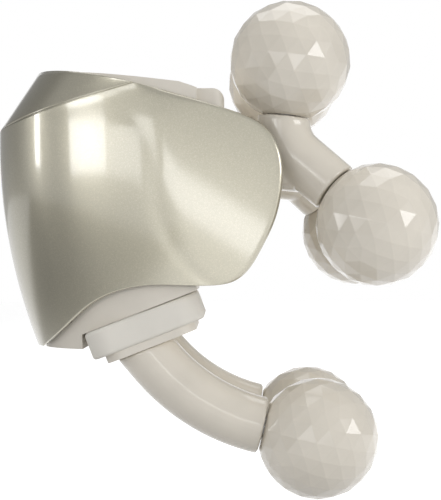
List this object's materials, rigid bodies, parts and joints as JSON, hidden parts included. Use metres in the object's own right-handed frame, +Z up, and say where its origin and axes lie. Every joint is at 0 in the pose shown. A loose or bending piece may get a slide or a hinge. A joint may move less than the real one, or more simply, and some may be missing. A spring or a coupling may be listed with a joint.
{
  "type": "head massager",
  "caption": "Handheld kneading head massager: pearl shell around a white body, with geared upper and lower claws that carry free-turning faceted balls.",
  "frame": {"origin": "middle of the flat base under the body, in the middle plane", "axes": "+X from the shell's nose towards the balls, +Y to the left of the body, +Z up"},
  "size_m": [0.1563, 0.1288, 0.1745],
  "materials": {
    "pearl_paint": "champagne pearl paint under clear coat",
    "white_plastic": "satin warm white",
    "arm_plastic": "gloss warm white",
    "ball_plastic": "gloss warm white, faceted",
    "button_plastic": "satin warm white",
    "soft_white": "matte soft white",
    "plate_steel": "zinc plated sheet",
    "shaft_steel": "ground steel",
    "screw_steel": "plated steel",
    "motor_steel": "drawn can",
    "port_steel": "drawn can",
    "bush_brass": "sintered",
    "pinion_brass": "machined",
    "gear_plastic": "moulded acetal",
    "battery_wrap": "shrink wrap",
    "dark_plastic": "moulded",
    "board_green": "solder mask",
    "light_guide": "clear guide"
  },
  "bodies": {
    "housing": {"outer_shell": "pearl_paint", "inner_body_left": "white_plastic", "inner_body_right": "white_plastic", "body_screws": "screw_steel", "front_cover": "white_plastic", "gear_plate_left": "plate_steel", "gear_plate_right": "plate_steel", "gear_spacers": "plate_steel", "shaft_bushes": "bush_brass", "gearmotor": "motor_steel", "motor_screws": "screw_steel", "battery": "battery_wrap", "lower_boot": "soft_white", "top_panel": "white_plastic", "tact_switch": "dark_plastic", "usb_port": "port_steel", "circuit_board": "board_green", "board_screws": "screw_steel", "status_light": "light_guide"},
    "upper_claw": {"upper_shaft": "shaft_steel", "upper_sector": "gear_plastic", "upper_arm_left": "arm_plastic", "upper_arm_right": "arm_plastic", "upper_axles": "shaft_steel", "upper_snap_rings": "screw_steel"},
    "lower_claw": {"lower_shaft": "shaft_steel", "lower_sector": "gear_plastic", "lower_yoke": "white_plastic", "lower_arm_left": "arm_plastic", "lower_arm_right": "arm_plastic", "lower_axles": "shaft_steel", "lower_snap_rings": "screw_steel"},
    "pinion": {"drive_pinion": "pinion_brass", "motor_shaft": "shaft_steel"},
    "button": {"power_button": "button_plastic", "switch_plunger": "dark_plastic"},
    "top_ball_left": {"top_ball_left": "ball_plastic", "top_ball_left_bush": "bush_brass"},
    "top_ball_right": {"top_ball_right": "ball_plastic", "top_ball_right_bush": "bush_brass"},
    "mid_ball_left": {"mid_ball_left": "ball_plastic", "mid_ball_left_bush": "bush_brass"},
    "mid_ball_right": {"mid_ball_right": "ball_plastic", "mid_ball_right_bush": "bush_brass"},
    "low_ball_left": {"low_ball_left": "ball_plastic", "low_ball_left_bush": "bush_brass"},
    "low_ball_right": {"low_ball_right": "ball_plastic", "low_ball_right_bush": "bush_brass"}
  },
  "joints": [
    {"name": "upper_swing", "type": "hinge", "parent": "housing", "child": "upper_claw", "pos_m": [0.034, 0, 0.068], "axis": [0, 1, 0], "range_deg": [-7, 7]},
    {"name": "lower_swing", "type": "hinge", "parent": "housing", "child": "lower_claw", "pos_m": [0.034, 0, 0.032], "axis": [0, 1, 0], "range_deg": [-7, 7], "deforming": ["lower_boot"]},
    {"name": "pinion_spin", "type": "hinge", "parent": "housing", "child": "pinion", "pos_m": [0.007, 0, 0.068], "axis": [0, 1, 0], "range_deg": [-14, 14]},
    {"name": "button_press", "type": "slide", "parent": "housing", "child": "button", "axis": [-0.1219, 0, -0.9925], "range_m": [0, 0.0008], "stiffness_N_per_m": 500},
    {"name": "top_ball_left_spin", "type": "hinge", "parent": "upper_claw", "child": "top_ball_left", "pos_m": [0.0807, 0.031, 0.101], "axis": [0.1028, 0, 0.9947], "continuous": true},
    {"name": "top_ball_right_spin", "type": "hinge", "parent": "upper_claw", "child": "top_ball_right", "pos_m": [0.0807, -0.031, 0.101], "axis": [0.1028, 0, 0.9947], "continuous": true},
    {"name": "mid_ball_left_spin", "type": "hinge", "parent": "upper_claw", "child": "mid_ball_left", "pos_m": [0.1101, 0.043, 0.0433], "axis": [0.7151, 0.2653, -0.6468], "continuous": true},
    {"name": "mid_ball_right_spin", "type": "hinge", "parent": "upper_claw", "child": "mid_ball_right", "pos_m": [0.1101, -0.043, 0.0433], "axis": [0.7151, -0.2653, -0.6468], "continuous": true},
    {"name": "low_ball_left_spin", "type": "hinge", "parent": "lower_claw", "child": "low_ball_left", "pos_m": [0.0903, 0.034, -0.0311], "axis": [0.9741, 0, -0.2261], "continuous": true},
    {"name": "low_ball_right_spin", "type": "hinge", "parent": "lower_claw", "child": "low_ball_right", "pos_m": [0.0903, -0.034, -0.0311], "axis": [0.9741, 0, -0.2261], "continuous": true}
  ],
  "couplings": [
    {"joint": "lower_swing", "follows": "upper_swing", "ratio": -1},
    {"joint": "pinion_spin", "follows": "upper_swing", "ratio": -2}
  ]
}
